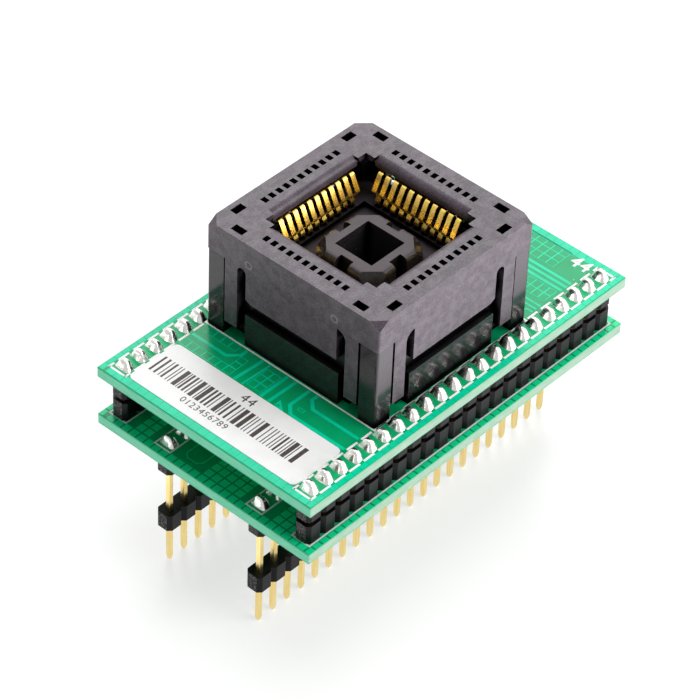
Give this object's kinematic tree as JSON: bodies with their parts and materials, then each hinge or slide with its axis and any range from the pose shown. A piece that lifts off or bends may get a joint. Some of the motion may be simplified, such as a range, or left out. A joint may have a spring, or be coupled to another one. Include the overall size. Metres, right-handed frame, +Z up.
{
  "type": "ic programming adapter",
  "caption": "Two stacked circuit boards with a square open-top chip socket above and two rows of long pins below, to join a leaded chip carrier to a programmer.",
  "frame": {"origin": "under the middle of the boards, on the plane of the programmer pins' tips", "axes": "+Z up, out of the chip socket; +X along the pin rows, away from the sticker; +Y across the rows"},
  "size_m": [0.058, 0.0352, 0.0435],
  "materials": {
    "board_green": "green solder mask on glass-fibre board",
    "strip_black": "moulded black, semi-gloss",
    "pin_gold": "thin gold plating",
    "contact_gold": "bright gold plating",
    "solder": "bright hand-soldered tin",
    "label_white": "white sticker with plain bars",
    "socket_plastic": "satin black glass-filled moulding"
  },
  "bodies": {
    "base_board": {"lower_board": "board_green", "dip_pins_front": "pin_gold", "dip_pins_rear": "pin_gold", "dip_strip_front": "strip_black", "dip_strip_rear": "strip_black", "dip_spacer_front": "strip_black", "dip_spacer_rear": "strip_black", "dip_solder_front": "solder", "dip_solder_rear": "solder", "socket_strip_front": "strip_black", "socket_strip_rear": "strip_black", "sleeves_front": "pin_gold", "sleeves_rear": "pin_gold", "sleeve_solder_front": "solder", "sleeve_solder_rear": "solder"},
    "socket_board": {"upper_board": "board_green", "header_strip_front": "strip_black", "header_strip_rear": "strip_black", "header_pins_front": "pin_gold", "header_pins_rear": "pin_gold", "header_solder_front": "solder", "header_solder_rear": "solder", "label": "label_white", "socket_base": "socket_plastic", "contacts_front": "contact_gold", "contacts_rear": "contact_gold", "contacts_left": "contact_gold", "contacts_right": "contact_gold", "contact_solder": "solder"},
    "cover": {"socket_cover": "socket_plastic"}
  },
  "joints": [
    {"name": "board_unplug", "type": "slide", "parent": "base_board", "child": "socket_board", "axis": [0, 0, 1], "range_m": [0, 0.008]},
    {"name": "cover_press", "type": "slide", "parent": "socket_board", "child": "cover", "axis": [0, 0, -1], "range_m": [0, 0.0017], "stiffness_N_per_m": 5000, "springref_m": -0.0004, "deforming": ["contacts_front", "contacts_rear", "contacts_left", "contacts_right"]}
  ]
}
